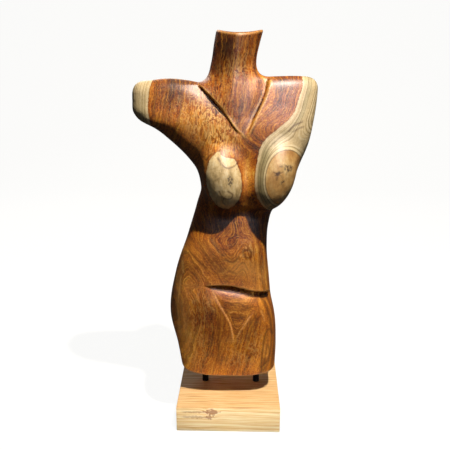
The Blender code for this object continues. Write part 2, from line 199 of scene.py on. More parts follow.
def breast(x, y, z, centre, radii, turn, lean, cut):
    """An egg that leans and turns, with its tip cut to a nearly flat oval."""
    dx, dy, dz = x - centre[0], y - centre[1], z - centre[2]
    c, s = math.cos(turn), math.sin(turn)
    side, out = c * dx + s * dy, s * dx - c * dy
    c, s = math.cos(lean), math.sin(lean)
    side, up = c * side - s * dz, s * side + c * dz
    a, b, h = radii
    reach = np.sqrt((side / a) ** 2 + (out / b) ** 2 + (up / h) ** 2) + 1e-6
    steep = np.sqrt((side / a ** 2) ** 2 + (out / b ** 2) ** 2 + (up / h ** 2) ** 2) + 1e-6
    egg = (reach - 1) * reach / steep
    return blend_in(egg, out - cut, BREAST_CUT_ROUNDING)


LEFT_BREAST = dict(
    centre=(-0.015, -0.070, 0.612), radii=(0.058, 0.092, 0.092),
    turn=math.radians(-4), lean=math.radians(-8), cut=0.083,
)
RIGHT_BREAST = dict(
    centre=(0.112, -0.064, 0.618), radii=(0.062, 0.092, 0.100),
    turn=math.radians(25), lean=math.radians(18), cut=0.084,
)
BREAST_BLEND = 0.032

# The two carved lines of the V on the chest and the keel between them, as (share of height, across)
V_LEFT = [
    (0.715, 0.0455), (0.7277, 0.0380), (0.748, 0.0160), (0.768, 0.0020), (0.796, -0.0190),
    (0.8227, -0.0430), (0.8483, -0.0687), (0.865, -0.0855),
]
V_RIGHT = [
    (0.715, 0.0340), (0.7277, 0.0430), (0.745, 0.0545), (0.775, 0.0680), (0.800, 0.0800),
    (0.825, 0.0920), (0.850, 0.1010), (0.875, 0.1070), (0.890, 0.1095),
]
KEEL = [(0.79, -0.013), (0.805, -0.008), (0.836, 0.0049), (0.874, 0.0152), (0.90, 0.0203), (0.97, 0.0227)]
V_LEFT_DEPTH = [
    (0.728, 0.0), (0.745, 0.0025), (0.778, 0.004), (0.800, 0.007), (0.835, 0.008), (0.850, 0.005),
    (0.862, 0.0),
]
V_RIGHT_DEPTH = [
    (0.732, 0.0), (0.755, 0.004), (0.785, 0.008), (0.835, 0.010), (0.865, 0.007), (0.882, 0.0),
]
KEEL_HEIGHT = [(0.775, 0.0), (0.815, 0.009), (0.86, 0.010), (0.91, 0.006), (0.975, 0.004)]
V_EDGE = 0.0030
BEAD_HEIGHT = 0.0013
BEAD_HALF_WIDTH = 0.0035
HOLLOW_REACH = 0.026
GROOVE_REACH = 0.022


def neckline_relief(x, z):
    """How far the chest stands out or sinks in around the carved V. Here and below, a distance
    across times the cosine of a line's lean is the distance square to that line."""
    inside_left = (x - through(V_LEFT, z)) * 0.74
    inside_right = (through(V_RIGHT, z) - x) * 0.88
    hollow = smoothstep(V_EDGE, -V_EDGE, inside_left)
    hollow *= bell(np.maximum(-inside_left, 0), HOLLOW_REACH)
    groove = smoothstep(-V_EDGE, V_EDGE, inside_right)
    groove *= bell(np.maximum(inside_right, 0), GROOVE_REACH)
    aside = np.abs(x - through(KEEL, z)) * 0.95
    keel = through(KEEL_HEIGHT, z) * np.exp(-np.hypot(aside, 0.006) / 0.034)
    keel *= smoothstep(-0.004, 0.010, inside_left)
    sunk = through(V_LEFT_DEPTH, z) * hollow + through(V_RIGHT_DEPTH, z) * groove
    run = smoothstep(0.728, 0.745, z) * fall(0.855, 0.872, z)
    beads = bell(inside_left - 0.003, BEAD_HALF_WIDTH)
    beads += bell(inside_right + 0.003, BEAD_HALF_WIDTH)
    return keel - sunk + BEAD_HEIGHT * beads * run


# The ledge that joins the breasts where they end below
LEDGE_MIDDLE = 0.048
LEDGE_HALF_WIDTH = 0.034
LEDGE_STEP = 0.012


def ledge_relief(x, z):
    """A low ledge between the two breasts that ends level with their undersides."""
    across = bell(x - LEDGE_MIDDLE, LEDGE_HALF_WIDTH)
    return LEDGE_STEP * across * smoothstep(0.520, 0.542, z) * fall(0.565, 0.640, z)


# The facet edge down the left hip, as (share of height, across)
HIP_EDGE = [
    (0.10, -0.118), (0.17, -0.134), (0.22, -0.141), (0.258, -0.141), (0.304, -0.132),
    (0.348, -0.124), (0.40, -0.112),
]
HIP_EDGE_HEIGHT = 0.006


def hip_relief(x, z):
    """A low facet edge between the front of the left hip and its side."""
    aside = np.hypot((x - through(HIP_EDGE, z)) * 0.97, 0.004)
    return HIP_EDGE_HEIGHT * np.exp(-aside / 0.020) * smoothstep(0.08, 0.20, z) * fall(0.36, 0.43, z)


# The groin lines as (share of height, offset across)
GROIN_LEFT = [(0.13, 0.014), (0.17, 0.011), (0.20, 0.005), (0.235, -0.014), (0.27, -0.033), (0.31, -0.052)]
GROIN_RIGHT = [(0.13, 0.018), (0.145, 0.0235), (0.17, 0.034), (0.20, 0.051), (0.225, 0.067), (0.25, 0.085)]
GROIN_STEP = 0.0038


def groin_relief(x, z):
    """The thighs stand a little proud of the mound along two lines that meet below it."""
    left = (through(GROIN_LEFT, z) - x) * 0.87
    right = (x - through(GROIN_RIGHT, z)) * 0.84
    left_run = smoothstep(0.12, 0.16, z) * fall(0.25, 0.29, z)
    right_run = smoothstep(0.12, 0.16, z) * fall(0.205, 0.25, z)
    left_thigh = smoothstep(-V_EDGE, V_EDGE, left) * bell(np.maximum(left, 0), 0.050)
    right_thigh = smoothstep(-V_EDGE, V_EDGE, right) * bell(np.maximum(right, 0), 0.040)
    return GROIN_STEP * (left_thigh * left_run + right_thigh * right_run)


# The body's middle line as (share of height, offset across), and the furrows cut on it behind
MIDDLE_LINE = [
    (0.0, 0.0), (0.15, 0.010), (0.30, 0.015), (0.45, 0.028), (0.62, 0.040), (0.75, 0.036),
    (0.90, 0.025),
]
SPINE_DEPTH = 0.009
SEAT_DEPTH = 0.011


def back_relief(x, z):
    """A shallow spine furrow and a short cleft below it."""
    off = x - through(MIDDLE_LINE, z)
    spine = bell(off, 0.030) * smoothstep(0.30, 0.42, z) * fall(0.78, 0.90, z)
    cleft = bell(off, 0.018) * smoothstep(0.04, 0.12, z) * fall(0.17, 0.28, z)
    return -SPINE_DEPTH * spine - SEAT_DEPTH * cleft


# The crease under the belly as (across, share of height) of its upper lip
CREASE_LINE = [
    (-0.11, 0.306), (-0.055, 0.309), (-0.018, 0.3115), (0.0085, 0.310), (0.027, 0.3055),
    (0.047, 0.2995), (0.067, 0.2925), (0.085, 0.2865), (0.103, 0.279), (0.119, 0.268),
    (0.16, 0.250),
]
CREASE_DEPTH = 0.032
CREASE_OPEN = 0.058
LIP_ROUNDING = 0.0035


def creased(skin, x, y, z):
    """The skin with the belly's lip standing over the rounded top of the mound."""
    lip = through(CREASE_LINE, x)
    reach = smoothstep(-0.075, 0.0, x) * fall(-0.05, 0.01, y)
    down = np.clip((lip - z) / CREASE_OPEN, 0.0, 1.0)
    mound = skin + CREASE_DEPTH * reach * (1 - down) ** 2.6
    belly = blend_in(skin, lip - z, LIP_ROUNDING)
    return np.minimum(belly, mound)


def torso_field(points):
    """Roughly the distance outside the torso's skin, in shares of its height."""
    x, y, z = points.T
    front = fall(-0.03, 0.0, y)
    chest = (neckline_relief(x, z) + ledge_relief(x, z)) * front
    relief = chest + (groin_relief(x, z) + hip_relief(x, z)) * front
    relief += back_relief(x, z) * smoothstep(0.0, 0.03, y)
    skin = blend_out(trunk(x, y, z) - relief, neck(x, y, z) - chest * 0.6, NECK_BLEND)
    for form in (LEFT_BREAST, RIGHT_BREAST):
        skin = blend_out(skin, breast(x, y, z, **form), BREAST_BLEND)
    skin = creased(skin, x, y, z)
    corners = EDGE_ROUNDING + LOWER_CORNER_ROUNDING * smoothstep(0.05, 0.13, np.abs(x))
    return blend_in(skin, -z, corners)


def metres(points):
    """Points in shares of the torso's height, as metres in the part's frame."""
    return points * TORSO_HEIGHT + np.array([0.0, 0.0, TORSO_BASE])


def shares(points):
    """Points in metres, as shares of the torso's height above its base."""
    return (points - np.array([0.0, 0.0, TORSO_BASE])) / TORSO_HEIGHT


def in_scene(name, data):
    """A new object of that data, linked to the scene."""
    thing = bpy.data.objects.new(name, data)
    bpy.context.scene.collection.objects.link(thing)
    return thing


def modified(mesh, kind, **settings):
    """The mesh with one modifier applied."""
    block = in_scene("block", mesh)
    change = block.modifiers.new("change", kind)
    for name, value in settings.items():
        setattr(change, name, value)
    graph = bpy.context.evaluated_depsgraph_get()
    result = bpy.data.meshes.new_from_object(block.evaluated_get(graph))
    bpy.data.objects.remove(block)
    return result


def vertex_places(mesh):
    """Where the mesh's vertices are, in metres."""
    flat = np.empty(len(mesh.vertices) * 3)
    mesh.vertices.foreach_get("co", flat)
    return flat.reshape(-1, 3)


def neighbour_mean(mesh):
    """A function that averages a value over each vertex's neighbours."""
    count = len(mesh.vertices)
    ends = np.empty(len(mesh.edges) * 2, dtype=np.int64)
    mesh.edges.foreach_get("vertices", ends)
    a, b = ends.reshape(-1, 2).T
    valence = np.bincount(a, minlength=count) + np.bincount(b, minlength=count)

    def mean(values):
        total = np.zeros_like(values)
        np.add.at(total, a, values[b])
        np.add.at(total, b, values[a])
        return (total.T / valence).T

    return mean


def carve(mesh, field, rounds, step):
    """Moves every vertex onto the field's zero surface, evening the mesh in the first rounds."""
    points = shares(vertex_places(mesh))
    mean = neighbour_mean(mesh)
    for turn in range(rounds):
        if turn < rounds - 3:
            points += 0.5 * (mean(points) - points)
        points = onto_surface(points, field, step)
    mesh.vertices.foreach_set("co", metres(points).ravel())
    mesh.update()


def onto_surface(points, field, step):
    """One Newton step towards the field's zero surface."""
    here = field(points)
    slope = np.empty_like(points)
    for axis in range(3):
        nudge = np.zeros(3)
        nudge[axis] = step
        slope[:, axis] = (field(points + nudge) - field(points - nudge)) / (2 * step)
    size = np.maximum((slope ** 2).sum(1), 0.05)
    move = -(here / size)[:, None] * slope
    reach = np.linalg.norm(move, axis=1, keepdims=True)
    return points + move * np.minimum(1.0, 0.03 / np.maximum(reach, 1e-9))


# Where the pale sapwood starts on the right, as (across, share of height)
RIGHT_SAPWOOD = [
    (0.200, 0.960), (0.1968, 0.8805), (0.1949, 0.857), (0.1843, 0.826), (0.1766, 0.794),
    (0.159, 0.769), (0.128, 0.7465), (0.100, 0.725), (0.0843, 0.7025), (0.0800, 0.678),
    (0.0742, 0.653), (0.0704, 0.627), (0.0715, 0.602), (0.0755, 0.576), (0.0876, 0.550),
    (0.1034, 0.5317), (0.130, 0.520), (0.160, 0.516), (0.260, 0.512),
]
LEFT_SAPWOOD = [
    (-0.2135, 0.960), (-0.2090, 0.874), (-0.2145, 0.860), (-0.219, 0.835), (-0.2192, 0.795),
    (-0.2151, 0.766), (-0.2100, 0.700),
]

# Ovals where a breast meets the outer layers, as centre, half sizes and lean
RIGHT_OVAL = dict(centre=(0.1536, 0.6200), radii=(0.0552, 0.0752), lean=math.radians(4))
LEFT_OVAL = dict(centre=(-0.0130, 0.6140), radii=(0.0475, 0.0790), lean=math.radians(-7))
OVAL_MM = 38.0
BAND_MM = 24.0

# Knots that bend the grain, as (across, share of height, half width, half height, rise)
KNOTS = [
    (0.053, 0.405, 0.014, 0.018, 0.018),
    (0.118, 0.110, 0.014, 0.075, 0.032), (-0.050, 0.735, 0.040, 0.035, 0.010),
    (-0.095, 0.215, 0.022, 0.060, 0.008), (-0.048, 0.120, 0.014, 0.060, 0.006),
    (0.020, 0.060, 0.020, 0.090, 0.006),
]

# Dark marks on the two ovals, as (across, share of height, half width, half height, strength)
STAINS = [
    (0.0040, 0.616, 0.0070, 0.0150, 1.3), (0.0205, 0.646, 0.0030, 0.0040, 0.6),
    (0.1588, 0.648, 0.0110, 0.0090, 1.2), (0.1291, 0.634, 0.0100, 0.0085, 1.1),
    (0.1440, 0.612, 0.0060, 0.0160, 0.7), (0.1400, 0.655, 0.0070, 0.0060, 0.7),
]

# Dark lines in the wood, as half width in millimetres, strength and (across, share of height) points
DARK_LINES = [
    (1.4, 0.7, [(-0.0295, 0.6754), (-0.0227, 0.667), (-0.0147, 0.6558), (-0.0042, 0.6491), (0.0089, 0.6507),
                (0.0194, 0.6557), (0.0272, 0.6647)]),
    (1.5, 0.7, [(-0.0598, 0.6673), (-0.0543, 0.6769), (-0.0461, 0.684)]),
    (1.5, 0.8, [(-0.0253, 0.5881), (-0.02, 0.577), (-0.0121, 0.5685), (0.0065, 0.5647), (0.0132, 0.5786),
                (-0.0014, 0.5882)]),
    (1.4, 0.75, [(-0.0121, 0.5699), (-0.0176, 0.5578), (-0.0096, 0.5502)]),
    (1.4, 0.35, [(-0.0413, 0.6077), (-0.0345, 0.619), (-0.0251, 0.6234)]),
    (1.5, 0.60, [(0.1184, 0.640), (0.1291, 0.6334), (0.1438, 0.6394)]),
    (1.5, 0.60, [(0.1291, 0.6334), (0.1280, 0.619)]),
    (1.5, 0.60, [(0.1490, 0.6571), (0.1588, 0.646), (0.1688, 0.6499)]),
    (1.6, 0.40, [(0.1588, 0.646), (0.1522, 0.6321)]),
    (1.6, 0.7, [(0.1594, 0.742), (0.1689, 0.7534), (0.1827, 0.7609), (0.1968, 0.7656)]),
    (1.6, 0.6, [(0.1719, 0.7403), (0.1858, 0.7489), (0.2001, 0.7522)]),
    (1.6, 0.6, [(-0.041, 0.440), (-0.0325, 0.4254), (-0.0185, 0.4175), (-0.0017, 0.4162), (0.0122, 0.4232),
                (0.0205, 0.4327)]),
    (1.7, 0.8, [(-0.0524, 0.446), (-0.0381, 0.4266), (-0.0212, 0.4021), (-0.0016, 0.3836), (0.0152, 0.3806),
                (0.0291, 0.3961)]),
    (1.6, 0.5, [(-0.0637, 0.4411), (-0.0465, 0.4098), (-0.0268, 0.3819), (-0.0044, 0.3585),
                (0.021, 0.3465)]),
    (1.8, 0.7, [(0.0401, 0.4127), (0.0541, 0.4172), (0.0655, 0.4076), (0.060, 0.3909), (0.0459, 0.3952),
                (0.0401, 0.4127)]),
    (1.5, 0.6, [(-0.0869, 0.4355), (-0.0663, 0.4085), (-0.0465, 0.3813), (-0.0213, 0.3495),
                (0.0014, 0.3202)]),
    (1.5, 0.5, [(-0.0723, 0.4375), (-0.0493, 0.404), (-0.0241, 0.3701), (0.0013, 0.3408)]),
    (1.5, 0.6, [(-0.0808, 0.4205), (-0.055, 0.3867), (-0.0297, 0.3523), (-0.0071, 0.3202)]),
    (1.9, 0.7, [(-0.1106, 0.4065), (-0.0894, 0.3863), (-0.0721, 0.371), (-0.0579, 0.3603)]),
    (2.2, 0.7, [(-0.030, 0.215), (-0.026, 0.180), (-0.031, 0.140), (-0.027, 0.090), (-0.030, 0.045)]),
    (1.8, 0.8, [(0.098, 0.030), (0.1005, 0.080), (0.1045, 0.130), (0.1130, 0.165), (0.1250, 0.158),
                (0.1320, 0.140)]),
    (1.6, 0.6, [(0.108, 0.030), (0.1110, 0.080), (0.1160, 0.115), (0.1240, 0.085), (0.1200, 0.050)]),
    (1.6, 0.5, [(0.070, 0.185), (0.062, 0.150), (0.055, 0.120), (0.052, 0.080)]),
    (1.5, 0.6, [(0.082, 0.222), (0.070, 0.205), (0.062, 0.188)]),
    (1.5, 0.6, [(0.092, 0.214), (0.080, 0.198), (0.072, 0.180)]),
    (1.6, 0.5, [(-0.020, 0.250), (0.015, 0.236), (0.045, 0.238), (0.070, 0.248)]),
    (1.6, 0.4, [(-0.012, 0.235), (0.018, 0.222), (0.042, 0.224)]),
]
# Pale lines, in the same form. A few are pale grain. Most are painted highlights along the raised edges of
# the V, the groin lines and the left hip's facet, and painted glints on the belly's knot.
PALE_AND_HIGHLIGHT_LINES = [
    (1.2, 0.65, [(-0.050, 0.306), (-0.033, 0.272), (-0.014, 0.237), (0.003, 0.202), (0.010, 0.172),
                 (0.013, 0.135)]),
    (1.9, 0.95, [(across + 0.0045, height) for height, across in V_LEFT[1:-1]]),
    (1.7, 0.85, [(across + 0.0055, height) for height, across in V_RIGHT[1:-1]]),
    (1.4, 0.60, [(across - 0.0080, height) for height, across in V_RIGHT[2:-2]]),
    (1.1, 0.65, [(0.0235, 0.145), (0.034, 0.170), (0.051, 0.200), (0.062, 0.217)]),
    (1.8, 0.55, [(0.004, 0.140), (0.0135, 0.128), (0.024, 0.138)]),
    (1.6, 0.7, [(0.094, 0.228), (0.101, 0.210), (0.104, 0.196)]),
    (2.2, 0.6, [(-0.060, 0.262), (-0.048, 0.246), (-0.038, 0.236)]),
    (1.5, 0.4, [(-0.0494, 0.446), (-0.0351, 0.4226), (-0.0182, 0.3981), (0.0014, 0.3796)]),
    (1.3, 0.9, [(0.0470, 0.4250), (0.0500, 0.4215)]),
    (1.3, 0.9, [(0.0620, 0.4190), (0.0640, 0.4130)]),
    (1.3, 0.7, [(0.0580, 0.4270), (0.0600, 0.4250)]),
    (2.6, 0.5, [(-0.152, 0.250), (-0.145, 0.200), (-0.146, 0.150)]),
    (2.2, 0.9, [(-0.1325, 0.372), (-0.1300, 0.345)]),
    (1.6, 0.7, [(-0.1370, 0.330), (-0.1420, 0.290), (-0.1470, 0.250)]),
]

# Where the grain curls finely, as (across, share of height, half width, half height, amount)
CURLS = [
    (-0.066, 0.785, 0.060, 0.055, 1.0), (-0.020, 0.725, 0.050, 0.042, 1.1),
    (0.078, 0.120, 0.042, 0.080, 0.40), (0.020, 0.080, 0.045, 0.070, 0.35),
    (-0.095, 0.120, 0.040, 0.110, 0.45), (0.055, 0.405, 0.030, 0.034, 0.6),
    (-0.085, 0.250, 0.040, 0.060, 0.35), (0.015, 0.920, 0.060, 0.070, 0.6),
    (-0.160, 0.820, 0.050, 0.050, 0.30), (0.100, 0.340, 0.030, 0.040, 0.4),
]

# Broad paler and darker areas, as (across, share of height, half width, half height, amount).
# Most are the wood's own tone. The paler area at 0.706 above the left breast is partly a painted
# highlight. The darker areas at 0.792 and 0.812 in the hollow beside the V, at 0.955 on the left
# plane of the neck and at 0.560 at the foot of the cleavage are painted shade over darker wood.
# Those at 0.48 and 0.49 are the painted shadow of the breasts across the waist.
TONES_AND_PAINTED_LIGHT = [
    (-0.058, 0.768, 0.050, 0.052, 0.55), (0.004, 0.706, 0.032, 0.034, 0.75),
    (0.115, 0.085, 0.012, 0.060, 0.35), (0.035, 0.270, 0.050, 0.020, 0.25),
    (0.050, 0.640, 0.010, 0.090, 0.25), (-0.045, 0.268, 0.014, 0.012, 0.50),
    (0.040, 0.360, 0.050, 0.024, 0.55), (0.090, 0.330, 0.030, 0.030, 0.35),
    (-0.150, 0.300, 0.016, 0.100, 0.35), (-0.125, 0.170, 0.045, 0.120, 0.60),
    (-0.050, 0.812, 0.013, 0.026, -0.75), (-0.032, 0.792, 0.010, 0.016, -0.60),
    (-0.012, 0.955, 0.026, 0.042, -0.85), (0.150, 0.820, 0.045, 0.050, -0.30),
    (0.150, 0.868, 0.060, 0.018, -0.40),
    (0.030, 0.950, 0.050, 0.060, -0.45), (-0.150, 0.840, 0.060, 0.035, -0.38),
    (0.040, 0.815, 0.035, 0.060, -0.45), (0.020, 0.700, 0.030, 0.020, -0.30),
    (0.002, 0.965, 0.010, 0.020, -0.35),
    (0.062, 0.800, 0.012, 0.040, -0.35), (-0.120, 0.872, 0.060, 0.018, -0.60),
    (0.068, 0.560, 0.016, 0.020, -0.45), (-0.090, 0.215, 0.030, 0.050, -0.35),
    (-0.030, 0.490, 0.070, 0.034, -0.60), (0.090, 0.480, 0.050, 0.034, -0.60),
    (0.055, 0.405, 0.018, 0.022, -0.30), (-0.020, 0.380, 0.060, 0.050, 0.30),
]


def ripples(points, size, seed):
    """Smooth seeded waves between about -1 and 1 whose length is near size."""
    rng = np.random.default_rng(seed)
    total = np.zeros(len(points))
    for _ in range(8):
        heading = rng.normal(size=3)
        heading /= np.linalg.norm(heading)
        turns = 2 * math.pi / (size * rng.uniform(0.7, 1.5))
        total += np.sin(points @ heading * turns + rng.uniform(0, 2 * math.pi))
    return total / 2.8


def oval_reach(x, z, centre, radii, lean):
    """0 at the centre of a leaning oval seen from the front and 1 on its edge, and the offsets
    across and along it in half sizes."""
    dx, dz = x - centre[0], z - centre[1]
    across = dx * math.cos(lean) - dz * math.sin(lean)
    along = dx * math.sin(lean) + dz * math.cos(lean)
    return np.hypot(across / radii[0], along / radii[1]), across / radii[0], along / radii[1]


def spots(x, y, z, marks):
    """The sum of soft spots on the front of the figure."""
    total = np.zeros(len(x))
    for across, height, half_width, half_height, amount in marks:
        total += amount * np.exp(-(((x - across) / half_width) ** 2) - ((z - height) / half_height) ** 2)
    return total * fall(-0.04, 0.0, y)


def rounded(line, turns=3):
    """The line with its corners cut, so that it runs smoothly."""
    line = np.array(line)
    for _ in range(turns):
        first, last = line[:-1], line[1:]
        cut = np.stack([0.75 * first + 0.25 * last, 0.25 * first + 0.75 * last], axis=1).reshape(-1, 2)
        line = np.concatenate([line[:1], cut, line[-1:]])
    return line


def right_of(x, z, line, turns=3):
    """How far each point is to the right of a line drawn downwards on the front, in millimetres."""
    line = rounded(line, turns)
    nearest = np.full(len(x), 1e9)
    side = np.zeros(len(x))
    for (x0, z0), (x1, z1) in zip(line, line[1:]):
        along = np.array([x1 - x0, z1 - z0])
        share = ((x - x0) * along[0] + (z - z0) * along[1]) / (along @ along)
        share = np.clip(share, 0.0, 1.0)
        dx, dz = x - x0 - share * along[0], z - z0 - share * along[1]
        away = np.hypot(dx, dz)
        closer = away < nearest
        nearest = np.where(closer, away, nearest)
        side = np.where(closer, np.sign(along[0] * dz - along[1] * dx), side)
    return nearest * side * TORSO_HEIGHT * 1000


def drawn(x, y, z, lines):
    """Soft lines on the front of the figure, each strongest along its middle."""
    total = np.zeros(len(x))
    front = np.flatnonzero(y < -0.02)
    for half_width, strength, line in lines:
        away = right_of(x[front], z[front], line, 2) / half_width
        total[front] = np.maximum(total[front], strength * np.exp(-(away ** 2)))
    return total


def ring_distance(points, right):
    """Millimetres from the heart of the log, bent by its knots: growth rings follow it."""
    x, y, z = points.T
    heart_x = through([(0.0, 0.24), (0.25, 0.25), (0.42, 0.22), (0.6, 0.20), (0.85, 0.25), (1.0, 0.28)], z)
    squashed = points * np.array([1.0, 1.0, 0.35])
    reach = np.hypot(x - heart_x, y - 0.12) + 0.008 * ripples(squashed, 0.22, 3)
    reach += 0.0022 * ripples(squashed, 0.07, 5)
    front = fall(-0.04, 0.0, y)
    for across, height, half_width, half_height, rise in KNOTS:
        near = ((x - across) / half_width) ** 2 + ((z - height) / half_height) ** 2
        reach += rise * np.exp(-near) * front
    # Nested folds that hang down the belly, and shallow arcs across the mound below the crease
    fold = 0.75 * np.hypot(x - 0.006, 0.010) * 1.35 - 0.75 * (z - 0.40) + 0.30
    belly = front * smoothstep(0.300, 0.315, z) * fall(0.43, 0.47, z)
    belly *= smoothstep(-0.15, -0.11, x) * fall(0.03, 0.085, x)
    reach += belly * (fold + 0.004 * ripples(squashed, 0.05, 9) - reach)
    arcs = 0.8 * z - 2.2 * (x - 0.030) ** 2 + 0.08
    groin_left, groin_right = through(GROIN_LEFT, z), through(GROIN_RIGHT, z)
    mound = smoothstep(groin_left - 0.006, groin_left + 0.012, x)
    mound *= smoothstep(groin_right + 0.006, groin_right - 0.012, x)
    mound *= front * smoothstep(0.15, 0.20, z) * fall(0.290, 0.302, z)
    reach += mound * (arcs + 0.003 * ripples(points, 0.05, 19) - reach)
    reach *= TORSO_HEIGHT * 1000
    # On the right the rings follow the edge of the sapwood
    follow = smoothstep(-75.0, -20.0, right) * smoothstep(0.68, 0.76, z)
    return reach + follow * (115.0 - right - reach)


def in_crease(x, y, z):
    """1 deep in the crease under the belly and 0 outside it: the material paints shade there."""
    lip = through(CREASE_LINE, x)
    skin = -0.118 + 0.011 * smoothstep(0.0, 0.11, np.abs(x - 0.01))
    sunk = smoothstep(0.004, 0.012, y - skin) * smoothstep(-0.012, -0.004, z - lip)
    sunk *= smoothstep(0.004, 0.0, z - lip)
    return sunk * smoothstep(-0.065, -0.045, x) * fall(-0.05, 0.0, y)


def wood_layers(points):
    """The attributes that the wood's material reads, one number per vertex each."""
    x, y, z = points.T
    front = fall(-0.05, -0.01, y)
    wander = ripples(points, 0.10, 11)
    right_reach, right_across, right_along = oval_reach(x, z, **RIGHT_OVAL)
    left_reach = oval_reach(x, z, **LEFT_OVAL)[0]
    stump = np.minimum(-right_of(x, z, LEFT_SAPWOOD), (z - 0.70) * 400)
    # Behind, the sapwood below the arm runs in towards the middle of the back
    around = 0.10 * smoothstep(-0.06, 0.08, y) * fall(0.66, 0.78, z)
    right = right_of(x - around, z, RIGHT_SAPWOOD)
    breast_left = (1 - left_reach) * OVAL_MM * front - 60 * (1 - front)
    amber = (np.hypot(x - 0.0127, (z - 0.706) * 1.15) - 0.039) * TORSO_HEIGHT * 1000
    breast_left = np.minimum(breast_left, amber + 1.5 * ripples(points, 0.035, 17))
    sap = np.maximum(np.maximum(right, stump), breast_left) + 0.8 * wander
    oval = (1 - right_reach) * OVAL_MM * front - 60 * (1 - front) + 0.5 * wander

    band = BAND_MM * right / np.maximum(right + np.maximum(-oval, 0), 1.0)
    band = right + (band - right) * fall(0.70, 0.78, z)
    band = np.where(right > 0, band, np.where(stump > 0, stump, x * 300 + 2.5 * wander))
    # On the right oval's lower left the ring zone reaches past 1, where the material darkens it further:
    # partly the sapwood's own olive and partly painted shade where the breast turns away from the light
    shaded_low_left = smoothstep(0.35, -0.75, right_across + 0.75 * right_along)
    ring_zone = 1.35 * np.exp(-(((band - 13) / 8.0) ** 4)) * shaded_low_left * fall(0.70, 0.75, z)
    faint_ring = 0.55 * bell(band - 12, 5.0) * fall(0.74, 0.78, z)
    ring_zone = np.maximum(ring_zone, faint_ring)
    stripe = 0.9 * bell(right - 15, 5.5) * smoothstep(0.70, 0.78, z)
    patch = smoothstep(1.15, 0.9, left_reach) * np.clip(0.60 + 0.3 * wander, 0, 1) * front
    cuff = smoothstep(0.86, 0.77, z) * smoothstep(3.0, 9.0, stump) * 0.8
    return {
        "ring_mm": ring_distance(points, right),
        "sap_mm": sap,
        "band_mm": band,
        "oval_mm": oval,
        "olive": np.maximum.reduce([ring_zone, stripe, patch, cuff]),
        "left_oval": smoothstep(-1.0, 1.5, breast_left),
        "stain": spots(x, y, z, STAINS),
        # The tone carries its table's painted shade, painted shadow and painted highlight
        "tone_and_painted_light": spots(x, y, z, TONES_AND_PAINTED_LIGHT) + 0.12 * ripples(points, 0.16, 23),
        "curl": spots(x, y, z, CURLS),
        "dark_line": drawn(x, y, z, DARK_LINES),
        "pale_and_highlight_line": drawn(x, y, z, PALE_AND_HIGHLIGHT_LINES),
        "cut": in_crease(x, y, z),
    }


# A vertex this far in metres from its neighbours' mean is on the sharpest kind of edge
SHARPEST_LIFT = 0.00028


def edge_sharpness(mesh):
    """How convex (positive) or concave (negative) the skin is at each vertex, about -1 to 1."""
    places, normals = vertex_places(mesh), np.empty(len(mesh.vertices) * 3)
    mesh.vertex_normals.foreach_get("vector", normals)
    mean = neighbour_mean(mesh)
    lift = ((places - mean(places)) * normals.reshape(-1, 3)).sum(1)
    for _ in range(2):
        lift = 0.5 * lift + 0.5 * mean(lift)
    return np.clip(lift / SHARPEST_LIFT, -1, 1)


def finished(bm, name):
    """The bmesh as a mesh, with the bmesh freed."""
    mesh = bpy.data.meshes.new(name)
    bm.to_mesh(mesh)
    bm.free()
    return mesh


def closed_copy(node):
    """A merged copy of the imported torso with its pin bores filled: their faces are less than
    60 mm above its base and 9 mm from a pin's middle."""
    bm = bmesh.new()
    bm.from_mesh(node.data)
    bmesh.ops.remove_doubles(bm, verts=bm.verts[:], dist=1e-6)
    inside = [
        face for face in bm.faces
        if TORSO_BASE + 0.001 < face.calc_center_median().z < TORSO_BASE + 0.06
        and all(min(math.hypot(v.co.x - x, v.co.y) for x in PIN_PLACES) < 0.009 for v in face.verts)
    ]
    bmesh.ops.delete(bm, geom=inside, context="FACES")
    bmesh.ops.holes_fill(bm, edges=[edge for edge in bm.edges if edge.is_boundary], sides=0)
    return finished(bm, "closed")


def rods(radius, bottom, top, places, eased=0.0):
    """Upright round rods at each place across, as one mesh."""
    bm = bmesh.new()
    for across in places:
        rod = bmesh.ops.create_cone(
            bm, cap_ends=True, segments=48, radius1=radius, radius2=radius, depth=top - bottom,
        )
        bmesh.ops.translate(bm, vec=(across, 0.0, (top + bottom) / 2), verts=rod["verts"])
    if eased:
        rims = [edge for edge in bm.edges if abs(edge.verts[0].co.z - edge.verts[1].co.z) < 1e-6]
        bmesh.ops.bevel(
            bm, geom=rims, offset=eased, segments=2, profile=0.5, affect="EDGES", material=-1,
        )
    return finished(bm, "rods")


def bored(mesh, tool_mesh):
    """The mesh with the tool's solid cut out of it."""
    tool = in_scene("tool", tool_mesh)
    result = modified(mesh, "BOOLEAN", operation="DIFFERENCE", solver="EXACT", object=tool)
    bpy.data.objects.remove(tool)
    return result


def shade(mesh, corner=math.radians(40)):
    """Smooth shading that keeps edges sharper than that corner crisp."""
    bm = bmesh.new()
    bm.from_mesh(mesh)
    for face in bm.faces:
        face.smooth = True
    for edge in bm.edges:
        edge.smooth = len(edge.link_faces) == 2 and edge.calc_face_angle() < corner
    bm.to_mesh(mesh)
    bm.free()


def placed(name, mesh, material, replaced):
    """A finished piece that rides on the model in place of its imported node."""
    mesh.materials.clear()
    mesh.materials.append(material)
    piece = in_scene(name, mesh)
    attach(piece, "root")
    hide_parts(replaced)


def hex_colour(code):
    """An sRGB hex colour as linear RGBA."""
    parts = [int(code[i:i + 2], 16) / 255 for i in (1, 3, 5)]
    return (*[p / 12.92 if p <= 0.04045 else ((p + 0.055) / 1.055) ** 2.4 for p in parts], 1.0)


def wire(target, feeds):
    """Feeds a node's inputs with values, hex colours or other nodes' outputs."""
    for key, value in feeds.items():
        if isinstance(value, bpy.types.NodeSocket):
            target.id_data.links.new(value, target.inputs[key])
        else:
            target.inputs[key].default_value = hex_colour(value) if isinstance(value, str) else value


